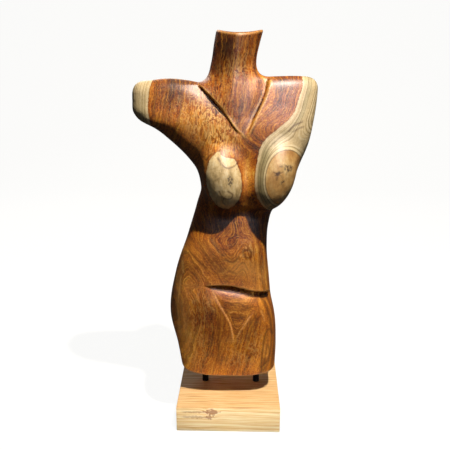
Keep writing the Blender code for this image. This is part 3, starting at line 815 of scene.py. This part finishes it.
def node(tree, kind, feeds=None, out=0, stops=(), **settings):
    """Adds a node with its settings and feeds, and returns one of its outputs."""
    new = tree.nodes.new("ShaderNode" + kind)
    for name, value in settings.items():
        setattr(new, name, value)
    wire(new, feeds or {})
    for index, (place, colour) in enumerate(stops):
        if index >= len(new.color_ramp.elements):
            new.color_ramp.elements.new(place)
        new.color_ramp.elements[index].position = place
        new.color_ramp.elements[index].color = hex_colour(colour)
    return new.outputs[out]


def new_material(name):
    """An empty material, its surface shader and a function that adds nodes to it."""
    material = bpy.data.materials.new(name)
    material.use_nodes = True
    tree = material.node_tree
    return material, tree.nodes["Principled BSDF"], functools.partial(node, tree)


# What a Mix node needs to mix colours
COLOURS = dict(out=2, data_type="RGBA")

# The attributes that the torso carries for its material
LAYERS = (
    "ring_mm", "sap_mm", "band_mm", "oval_mm", "left_oval", "olive", "stain", "tone_and_painted_light", "edge", "curl",
    "dark_line", "pale_and_highlight_line", "cut",
)


def varnished_hardwood():
    """Rain tree wood, hand carved and varnished: amber heartwood with dark growth lines,
    cream sapwood where the carving comes near the bark, and a soft satin gloss."""
    material, shader, add = new_material("carved_rain_tree_wood_satin_varnish")
    place = add("TexCoord", out=3)
    ring, sap, band, oval, left, olive, stain, tone_and_painted_light, edge, curl, dark_line, pale_and_highlight_line, cut = [
        add("Attribute", out=2, attribute_name=name) for name in LAYERS
    ]
    across = add("SeparateXYZ", {0: place}, out=0)
    height = add("SeparateXYZ", {0: place}, out=2)

    # The growth lines waver every 30 mm and crimp every 9 mm, cloudy areas are about 55 mm
    # across, mottling about 3 mm, speckles 5 mm and gouge marks 16 mm
    waver, crimp, cloud, mottle, speckle, gouge = [
        add("TexNoise", {"Vector": place, "Scale": 1 / size, "Detail": detail})
        for size, detail in (
            (0.030, 3.0), (0.009, 2.0), (0.055, 3.0), (0.0032, 3.0), (0.005, 4.0), (0.016, 1.0),
        )
    ]
    waver = add("Math", {0: waver, 1: 0.5}, operation="SUBTRACT")
    ring = add("Math", {0: waver, 1: 7.0, 2: ring}, operation="MULTIPLY_ADD")
    crimp = add("Math", {0: crimp, 1: 0.5}, operation="SUBTRACT")
    ring = add("Math", {0: crimp, 1: 4.5, 2: ring}, operation="MULTIPLY_ADD")
    # Broad bands about 12 mm apart, and thin dark lines where one growth ring ends
    broad, ends = [
        add("TexNoise", {
            "W": add("Math", {0: ring, 1: 1 / apart}, operation="MULTIPLY"), "Scale": 1.0, "Detail": detail,
        }, noise_dimensions="1D")
        for apart, detail in ((12.0, 2.0), (5.5, 1.0))
    ]
    ends = add("Math", {0: ends, 1: 0.5}, operation="SUBTRACT")
    ends = add("Math", {0: ends}, operation="ABSOLUTE")
    ends = add("MapRange", {0: ends, 1: 0.0, 2: 0.055, 3: 1.0, 4: 0.0})
    # Fibres 1.3 mm wide that run some 35 mm along the grain
    thread = add("CombineXYZ", {
        0: add("Math", {0: ring, 1: 1 / 1.3}, operation="MULTIPLY"),
        1: add("Math", {0: height, 1: 1 / 0.034}, operation="MULTIPLY"),
        2: add("Math", {0: across, 1: 1 / 0.009}, operation="MULTIPLY"),
    })
    fibre = add("TexNoise", {"Vector": thread, "Scale": 1.0, "Detail": 3.0, "Roughness": 0.6})
    flecks = add("VectorMath", {0: thread, 1: (40.0, 1.7, 0.0)}, operation="ADD")
    flecks = add("TexNoise", {"Vector": flecks, "Scale": 0.8, "Detail": 1.0})

    total = 0.0
    for source, weight in ((broad, 0.22), (fibre, 0.28), (cloud, 0.24), (mottle, 0.26), (tone_and_painted_light, 0.06)):
        total = add("Math", {0: source, 1: weight, 2: total}, operation="MULTIPLY_ADD")
    total = add("MapRange", {0: total, 1: 0.395, 2: 0.625, 3: 0.0, 4: 1.0})
    heart = add("ValToRGB", {0: total}, stops=[
        (0.0, "#3b1503"), (0.22, "#763506"), (0.48, "#ac5b0d"), (0.72, "#ca7a1a"),
        (0.90, "#dc9930"), (1.0, "#ebb552"),
    ])
    # Paler areas of the tone, among them a painted highlight above the left breast
    lift = add("MapRange", {0: tone_and_painted_light, 1: 0.0, 2: 1.0, 3: 0.0, 4: 0.60})
    heart = add("Mix", {0: lift, 6: heart, 7: "#e3a758"}, **COLOURS)
    # Curled grain shows as short dark and light strokes some 5 mm apart that slant two ways,
    # drawn 1.5 mm wide to show
    for lean, stretch, shift, size, twist, fade, strength, shown in (
        (-28, 0.36, (0.0, 0.0, 0.0), 0.010, 0.7, 0.080, 0.90, "#743609"),
        (34, 0.42, (7.0, 0.0, 3.0), 0.009, 0.9, 0.075, 1.0, "#e8b568"),
    ):
        stroke = add("Mapping", {
            "Vector": place, "Location": shift, "Rotation": (0.0, math.radians(lean), 0.0),
            "Scale": (1.0, 1.0, stretch),
        })
        stroke = add("TexNoise", {"Vector": stroke, "Scale": 1 / size, "Detail": 3.0, "Distortion": twist})
        stroke = add("Math", {0: stroke, 1: 0.5}, operation="SUBTRACT")
        stroke = add("Math", {0: stroke}, operation="ABSOLUTE")
        stroke = add("MapRange", {0: stroke, 1: 0.005, 2: fade, 3: strength, 4: 0.0})
        stroke = add("Math", {0: stroke, 1: curl}, operation="MULTIPLY", use_clamp=True)
        heart = add("Mix", {0: stroke, 6: heart, 7: shown}, **COLOURS)
    # Over that come darker areas, which take in the painted shade and the painted shadow of the tone
    # table, gold flecks, the ends of the rings, pale lines that are partly pale grain and partly painted
    # highlights along carved edges, broken where the tool skipped, and a darker line on the heartwood's
    # side of the boundary
    skip = add("MapRange", {0: mottle, 1: 0.38, 2: 0.58, 3: 0.35, 4: 1.0})
    for cover, shown in (
        (add("MapRange", {0: tone_and_painted_light, 1: 0.0, 2: -1.0, 3: 0.0, 4: 0.85}), "#351607"),
        (add("MapRange", {0: flecks, 1: 0.56, 2: 0.67, 3: 0.0, 4: 0.60}), "#d5922f"),
        (add("Math", {0: ends, 1: 0.50}, operation="MULTIPLY"), "#4f2006"),
        # Painted highlights along the carved edges come in with these pale lines
        (add("Math", {0: pale_and_highlight_line, 1: skip}, operation="MULTIPLY"), "#eab564"),
        (add("MapRange", {0: sap, 1: -3.0, 2: -0.3, 3: 0.0, 4: 0.5}), "#5a280c"),
    ):
        heart = add("Mix", {0: cover, 6: heart, 7: shown}, **COLOURS)

    # Sapwood: cream with fine rings, greyish olive in places and tan in the right oval
    layer = add("Math", {0: waver, 1: 3.0, 2: band}, operation="MULTIPLY_ADD")
    layer = add("Math", {0: layer, 1: 1 / 2.2}, operation="MULTIPLY")
    layer = add("TexNoise", {"W": layer, "Scale": 1.0, "Detail": 2.0}, noise_dimensions="1D")
    layer = add("MapRange", {0: layer, 1: 0.36, 2: 0.64, 3: 0.0, 4: 1.0})
    cream = add("ValToRGB", {0: layer}, stops=[
        (0.0, "#a48e63"), (0.18, "#c6ad7e"), (0.50, "#d5be8f"), (1.0, "#e2d0a8"),
    ])
    grey = add("ValToRGB", {0: layer}, stops=[
        (0.0, "#7a6d48"), (0.30, "#9f9068"), (0.75, "#b0a276"), (1.0, "#c8b98c"),
    ])
    pale = add("Mix", {0: olive, 6: cream, 7: grey}, **COLOURS)
    # Past 1 the olive darkens further, partly the sapwood's own olive and partly painted shade on the right
    # oval's lower left
    deeper_olive_and_shade = add("MapRange", {0: olive, 1: 1.0, 2: 1.6, 3: 0.0, 4: 0.60})
    pale = add("Mix", {0: deeper_olive_and_shade, 6: pale, 7: "#6f6038"}, **COLOURS)
    speckle = add("MapRange", {0: speckle, 1: 0.35, 2: 0.68, 3: 0.0, 4: 1.0})
    # The left oval is weathered in soft upright smears of about 8 by 22 mm
    smear = add("Mapping", {"Vector": place, "Scale": (1 / 0.008, 1 / 0.02, 1 / 0.022)})
    smear = add("TexNoise", {"Vector": smear, "Scale": 1.0, "Detail": 4.0, "Roughness": 0.6})
    smear = add("Math", {0: speckle, 1: 0.12, 2: smear}, operation="MULTIPLY_ADD")
    weathered = add("ValToRGB", {0: smear}, stops=[
        (0.38, "#b09766"), (0.50, "#d2b680"), (0.62, "#e4ca95"), (0.74, "#efdbae"),
    ])
    pale = add("Mix", {0: left, 6: pale, 7: weathered}, **COLOURS)
    mixed = add("Math", {0: smear, 1: 0.6, 2: cloud}, operation="MULTIPLY_ADD")
    tan = add("ValToRGB", {0: mixed}, stops=[
        (0.60, "#a9793f"), (0.78, "#c19556"), (0.92, "#d2ad70"), (1.0, "#e2c48c"),
    ])
    inner = add("MapRange", {0: oval, 1: -0.4, 2: 0.6, 3: 0.0, 4: 1.0})
    pale = add("Mix", {0: inner, 6: pale, 7: tan}, **COLOURS)
    # Three fine lines ring the right oval, from inside to outside dark, cream and dark
    rims = ((0.0, 1.1, 0.75, "#6b4f2a"), (-2.6, 1.2, 0.6, "#e6d5a8"), (-4.8, 0.9, 0.5, "#6b5c38"))
    for middle, half, strength, shown in rims:
        off = add("Math", {0: oval, 1: middle}, operation="SUBTRACT")
        off = add("Math", {0: off}, operation="ABSOLUTE")
        rim = add("MapRange", {0: off, 1: 0.3 * half, 2: half, 3: strength, 4: 0.0})
        pale = add("Mix", {0: rim, 6: pale, 7: shown}, **COLOURS)
    blot = add("Math", {0: stain, 1: speckle}, operation="MULTIPLY")
    blot = add("MapRange", {0: blot, 1: 0.10, 2: 0.55, 3: 0.0, 4: 0.85})
    pale = add("Mix", {0: blot, 6: pale, 7: "#3d3026"}, **COLOURS)
    grit = add("MapRange", {0: mottle, 1: 0.30, 2: 0.70, 3: 0.90, 4: 1.06})
    pale = add("VectorMath", {0: pale, 1: grit}, operation="MULTIPLY")

    # The sapwood starts within a millimetre
    ragged = add("Math", {0: speckle, 1: 1.4, 2: sap}, operation="MULTIPLY_ADD")
    start = add("MapRange", {0: ragged, 1: 0.2, 2: 1.2, 3: 0.0, 4: 1.0})
    colour = add("Mix", {0: start, 6: heart, 7: pale}, **COLOURS)
    colour = add("Mix", {0: dark_line, 6: colour, 7: "#4a2409"}, **COLOURS)
    # Convex edges go golden, partly wear on handled edges and partly a painted highlight, and painted
    # shade darkens the concave cuts and the crease under the belly
    worn_and_edge_highlight = add("MapRange", {0: edge, 1: 0.35, 2: 0.95, 3: 0.0, 4: 0.45})
    colour = add("Mix", {0: worn_and_edge_highlight, 6: colour, 7: "#dba55c"}, **COLOURS)
    painted_hollow_shade = add("MapRange", {0: edge, 1: -0.32, 2: -1.0, 3: 0.0, 4: 0.6})
    painted_hollow_shade = add("Math", {0: painted_hollow_shade, 1: cut}, operation="MAXIMUM")
    colour = add("Mix", {0: painted_hollow_shade, 6: colour, 7: "#160802"}, **COLOURS)
    torn = add("MapRange", {0: curl, 1: 0.2, 2: 1.0, 3: 0.0, 4: 0.45})
    dull = add("Math", {0: painted_hollow_shade, 1: torn}, operation="MAXIMUM")
    shine = add("MapRange", {0: dull, 1: 0.0, 2: 0.8, 3: 0.5, 4: 0.0})
    gloss = add("MapRange", {0: fibre, 1: 0.3, 2: 0.7, 3: 0.52, 4: 0.40})
    coat = add("MapRange", {0: dull, 1: 0.0, 2: 0.5, 3: 0.50, 4: 0.0})
    # Open grain some tenths of a millimetre deep, over the shallow gouge marks
    relief = add("Math", {0: mottle, 1: 0.5, 2: fibre}, operation="MULTIPLY_ADD")
    relief = add("Math", {0: gouge, 1: 2.6, 2: relief}, operation="MULTIPLY_ADD")
    wire(shader, {
        "Base Color": colour, "Specular IOR Level": shine, "Roughness": gloss, "IOR": 1.48,
        "Coat Weight": coat, "Coat Roughness": 0.40,
        "Normal": add("Bump", {"Height": relief, "Strength": 0.8, "Distance": 0.0005}),
    })
    return material


KNOT_COLOUR = "#a8724f"


def planed_softwood():
    """Cedar board, planed and lightly oiled: pale straw with honey lines along it and a knot."""
    material, shader, add = new_material("planed_cedar_board")
    place = add("TexCoord", out=3)
    # The board was sawn beside the log's heart, which ran along it below and behind
    wander = add("Mapping", {"Vector": place, "Scale": (1 / 0.22, 1 / 0.04, 1 / 0.04)})
    wander = add("TexNoise", {"Vector": wander, "Scale": 1.0, "Detail": 2.0})
    apart = add("SeparateXYZ", {0: place}, out=0)
    deep = add("SeparateXYZ", {0: place}, out=1)
    high = add("SeparateXYZ", {0: place}, out=2)
    back = add("Math", {0: deep, 1: 0.16}, operation="SUBTRACT")
    below = add("Math", {0: high, 1: 0.09}, operation="ADD")
    section = add("CombineXYZ", {1: back, 2: below})
    reach = add("VectorMath", {0: section}, out=1, operation="LENGTH")
    reach = add("Math", {0: reach, 1: 1000.0}, operation="MULTIPLY")
    reach = add("Math", {0: wander, 1: 9.0, 2: reach}, operation="MULTIPLY_ADD")
    # The knot on the front pushes the lines round it
    aside = add("Math", {0: apart, 1: 0.0345}, operation="ADD")
    over = add("Math", {0: high, 1: 0.0440}, operation="SUBTRACT")
    flat = add("CombineXYZ", {0: aside, 1: over})
    knot = add("VectorMath", {0: flat}, out=1, operation="LENGTH")
    bend = add(
        "MapRange", {0: knot, 1: 0.0, 2: 0.026, 3: 4.0, 4: 0.0}, interpolation_type="SMOOTHSTEP",
    )
    reach = add("Math", {0: reach, 1: bend}, operation="ADD")
    lines = add("Math", {0: reach, 1: 1 / 2.4}, operation="MULTIPLY")
    lines = add("TexNoise", {"W": lines, "Scale": 1.0, "Detail": 3.0}, noise_dimensions="1D")
    threads = add("Mapping", {"Vector": place, "Scale": (1 / 0.05, 1 / 0.0012, 1 / 0.0012)})
    threads = add("TexNoise", {"Vector": threads, "Scale": 1.0, "Detail": 3.0})
    total = add("Math", {0: threads, 1: 0.55}, operation="MULTIPLY")
    total = add("Math", {0: lines, 1: 0.45, 2: total}, operation="MULTIPLY_ADD")
    total = add("MapRange", {0: total, 1: 0.36, 2: 0.60, 3: 0.0, 4: 1.0})
    top = add("ValToRGB", {0: total}, stops=[
        (0.0, "#ae7a40"), (0.35, "#cfa266"), (0.65, "#dfb981"), (1.0, "#ebcd9c"),
    ])
    front = add("ValToRGB", {0: total}, stops=[
        (0.0, "#d9b173"), (0.30, "#ebcb90"), (0.60, "#f3daa6"), (1.0, "#faebc4"),
    ])
    facing = add("SeparateXYZ", {0: add("NewGeometry", out=1)}, out=2)
    upward = add("MapRange", {0: facing, 1: 0.3, 2: 0.8, 3: 0.0, 4: 1.0})
    colour = add("Mix", {0: upward, 6: front, 7: top}, **COLOURS)
    # Pinkish brown knot, a ragged diamond some 28 mm wide, and a smaller one below it
    ragged = add("TexNoise", {"Vector": place, "Scale": 1 / 0.004, "Detail": 4.0})
    ragged = add("Math", {0: ragged, 1: 0.5}, operation="SUBTRACT")
    on_front = add("MapRange", {0: deep, 1: -0.104, 2: -0.100, 3: 1.0, 4: 0.0})
    not_top = add("Math", {0: 1.0, 1: upward}, operation="SUBTRACT")
    on_front = add("Math", {0: on_front, 1: not_top}, operation="MULTIPLY")
    for knot_x, knot_z, half, strength in ((-0.0335, 0.0455, 0.0150, 0.85), (-0.0375, 0.0335, 0.0100, 0.72)):
        aside = add("Math", {0: apart, 1: knot_x}, operation="SUBTRACT")
        over = add("Math", {0: high, 1: knot_z}, operation="SUBTRACT")
        aside = add("Math", {0: aside}, operation="ABSOLUTE")
        over = add("Math", {0: over}, operation="ABSOLUTE")
        over = add("Math", {0: over, 1: 1.5}, operation="MULTIPLY")
        reach = add("Math", {0: aside, 1: over}, operation="ADD")
        reach = add("Math", {0: ragged, 1: 0.030, 2: reach}, operation="MULTIPLY_ADD")
        spot = add("MapRange", {0: reach, 1: half + 0.0020, 2: half - 0.0035, 3: 0.0, 4: strength})
        spot = add("Math", {0: spot, 1: on_front}, operation="MULTIPLY")
        colour = add("Mix", {0: spot, 6: colour, 7: KNOT_COLOUR}, **COLOURS)
    # Two streaks of the same colour run left from the knots
    for streak_z, strength in ((0.0455, 0.85), (0.0335, 0.85)):
        over = add("Math", {0: high, 1: streak_z}, operation="SUBTRACT")
        over = add("Math", {0: ragged, 1: 0.008, 2: over}, operation="MULTIPLY_ADD")
        over = add("Math", {0: over}, operation="ABSOLUTE")
        thin = add("MapRange", {0: over, 1: 0.0034, 2: 0.0014, 3: 0.0, 4: strength})
        run = add("MapRange", {0: apart, 1: -0.040, 2: -0.046, 3: 0.0, 4: 1.0})
        end = add("MapRange", {0: apart, 1: -0.100, 2: -0.086, 3: 0.0, 4: 1.0})
        thin = add("Math", {0: thin, 1: run}, operation="MULTIPLY")
        thin = add("Math", {0: thin, 1: end}, operation="MULTIPLY")
        broken = add("MapRange", {0: lines, 1: 0.35, 2: 0.6, 3: 1.0, 4: 0.5})
        thin = add("Math", {0: thin, 1: broken}, operation="MULTIPLY")
        thin = add("Math", {0: thin, 1: on_front}, operation="MULTIPLY")
        colour = add("Mix", {0: thin, 6: colour, 7: KNOT_COLOUR}, **COLOURS)
    bump = add("Bump", {"Height": total, "Strength": 0.25, "Distance": 0.0003})
    wire(shader, {"Base Color": colour, "Roughness": 0.55, "Normal": bump})
    return material


def blued_steel():
    """Round mild steel rod, blued by heat: nearly black, with a faint blue sheen and dull scale."""
    material, shader, add = new_material("blued_steel_rod")
    place = add("TexCoord", out=3)
    scale = add("TexNoise", {"Vector": place, "Scale": 1 / 0.004, "Detail": 4.0})
    colour = add("ValToRGB", {0: scale}, stops=[(0.35, "#1b1e26"), (0.7, "#363a44")])
    rough = add("MapRange", {0: scale, 1: 0.3, 2: 0.7, 3: 0.28, 4: 0.5})
    wire(shader, {"Base Color": colour, "Metallic": 1.0, "Roughness": rough})
    return material


def torso_piece():
    """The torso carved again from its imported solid, fine enough for its cuts and edges."""
    mesh = modified(closed_copy(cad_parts["torso"]), "REMESH", mode="VOXEL", voxel_size=CARVING_VOXEL)
    carve(mesh, torso_field, CARVING_ROUNDS, CARVING_STEP)
    mesh = modified(mesh, "DECIMATE", ratio=CARVING_TRIANGLES / (2 * len(mesh.polygons)))
    bores = rods(PIN_RADIUS + FIT_GAP, TORSO_BASE - 0.01, PIN_TOP + FIT_GAP, PIN_PLACES)
    mesh = bored(mesh, bores)
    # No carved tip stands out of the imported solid's box
    places = np.clip(vertex_places(mesh), TORSO_LOW, TORSO_HIGH)
    mesh.vertices.foreach_set("co", places.ravel())
    layers = wood_layers(shares(places))
    layers["edge"] = edge_sharpness(mesh)
    for name, values in layers.items():
        layer = mesh.attributes.new(name, "FLOAT", "POINT")
        layer.data.foreach_set("value", values.astype(np.float32))
    shade(mesh, math.radians(60))
    placed("carved_torso", mesh, varnished_hardwood(), "torso")


def plinth_piece():
    """The plinth block with softened edges and a bore for each pin."""
    low, high = PLINTH_LOW, PLINTH_HIGH
    bm = bmesh.new()
    bmesh.ops.create_cube(bm, size=1.0)
    bmesh.ops.scale(bm, vec=high - low, verts=bm.verts[:])
    bmesh.ops.translate(bm, vec=(high + low) / 2, verts=bm.verts[:])
    bmesh.ops.bevel(
        bm, geom=bm.edges[:], offset=PLINTH_EASED_EDGE, segments=3, profile=0.5, affect="EDGES",
        material=-1,
    )
    bores = rods(PIN_RADIUS + FIT_GAP, PIN_BOTTOM - FIT_GAP, high.z + 0.01, PIN_PLACES)
    mesh = bored(finished(bm, "plinth_block"), bores)
    shade(mesh)
    placed("plinth_block", mesh, planed_softwood(), "plinth")


def pin_piece(name, place, material):
    """One steel pin with its end edges eased."""
    mesh = rods(PIN_RADIUS, PIN_BOTTOM, PIN_TOP, [place], eased=PIN_EASED_EDGE)
    shade(mesh)
    placed("steel_" + name, mesh, material, name)


def studio_sweep():
    """A pale floor that curves up into a backdrop, lit evenly from below like a light table.
    It casts no light on the figure, so the figure's shadows stay deep."""
    bm = bmesh.new()
    start = [bm.verts.new((-8.0, -4.0, 0.0)), bm.verts.new((8.0, -4.0, 0.0))]
    edge = bm.edges.new(start)
    bend, radius, top = 2.4, 1.2, 6.0
    turns = np.linspace(0.2, math.pi / 2, 9)
    path = [(0.0, 0.0), (bend, 0.0)]
    path += [(bend + radius * math.sin(t), radius - radius * math.cos(t)) for t in turns]
    path += [(3.6, top)]
    for y, z in path:
        raised = bmesh.ops.extrude_edge_only(bm, edges=[edge])["geom"]
        for vert in raised:
            if isinstance(vert, bmesh.types.BMVert):
                vert.co.y, vert.co.z = y, z
        edges = [item for item in raised if isinstance(item, bmesh.types.BMEdge)]
        edge = next(e for e in edges if abs(e.verts[0].co.x - e.verts[1].co.x) > 1)
    for face in bm.faces:
        face.smooth = True
    material, shader, _ = new_material("backlit_white_acrylic")
    wire(shader, {
        "Base Color": "#565654", "Roughness": 0.9, "Emission Color": "#fefefd", "Emission Strength": 0.94,
    })
    sweep = in_scene("studio_sweep", finished(bm, "studio_sweep"))
    sweep.data.materials.append(material)
    sweep.visible_diffuse = False
    sweep.visible_glossy = False


def area_light(name, place, target, size, power, colour, spread=180, gloss=True, matt=True):
    """A soft square lamp at place that faces target, with its beam's spread in degrees.
    gloss and matt say whether it shows in the varnish and whether it lights the wood below."""
    lamp = bpy.data.lights.new(name, "AREA")
    lamp.shape = "SQUARE"
    lamp.size = size
    lamp.energy = power
    lamp.color = hex_colour(colour)[:3]
    lamp.spread = math.radians(spread)
    holder = in_scene(name, lamp)
    holder.location = place
    holder.rotation_euler = (Vector(target) - Vector(place)).to_track_quat("-Z", "Y").to_euler()
    holder.visible_diffuse = matt
    holder.visible_glossy = gloss


def studio():
    """A key high over the figure, a little in front and on the right, a weak fill in front, a
    wide panel that only shows in the varnish, a level lamp whose narrow beam meets the front
    of the plinth, and one behind."""
    area_light("key", (0.66, -0.88, 2.90), (0.0, 0.0, 0.42), 0.06, 124.0, "#fff4e6")
    area_light("fill", (0.10, -1.70, 1.20), (0.0, 0.0, 0.60), 0.60, 1.2, "#fff4ea", gloss=False)
    area_light("sheen_panel", (0.75, -1.25, 1.75), (0.0, 0.0, 0.66), 1.00, 25.0, "#fdf2fa", matt=False)
    area_light("low_lamp", (0.10, -1.40, 0.13), (0.0, -0.08, 0.06), 0.25, 0.30, "#fff6ea", 26, gloss=False)
    area_light("back_lamp", (-0.90, 2.20, 1.90), (0.0, 0.0, 0.40), 1.20, 12.0, "#fff8f0")
    world = bpy.data.worlds.new("pale_room")
    world.use_nodes = True
    backdrop = world.node_tree.nodes["Background"]
    # The room looks pale past the edge of the sweep and gives the figure only a little light
    seen = node(world.node_tree, "LightPath")
    shown = node(world.node_tree, "MapRange", {0: seen, 1: 0.0, 2: 1.0, 3: 0.025, 4: 0.85})
    wire(backdrop, {0: "#f4f6fa", 1: shown})
    bpy.context.scene.world = world
    bpy.context.scene.view_settings.view_transform = "Standard"


def camera():
    """The photograph's view: level with the shoulders, looking down by 15 degrees."""
    eye = bpy.data.cameras.new("camera")
    eye.lens = 43.2
    eye.sensor_width = 36.0
    holder = in_scene("camera", eye)
    holder.location = (0.0206928, -1.089128, 0.7156744)
    holder.rotation_euler = (math.radians(90 - 15.228), 0.0, math.radians(1.58))
    bpy.context.scene.camera = holder


def main():
    camera()
    studio()
    studio_sweep()
    torso_piece()
    plinth_piece()
    steel = blued_steel()
    for name, place in zip(("left_pin", "right_pin"), PIN_PLACES):
        pin_piece(name, place, steel)


main()
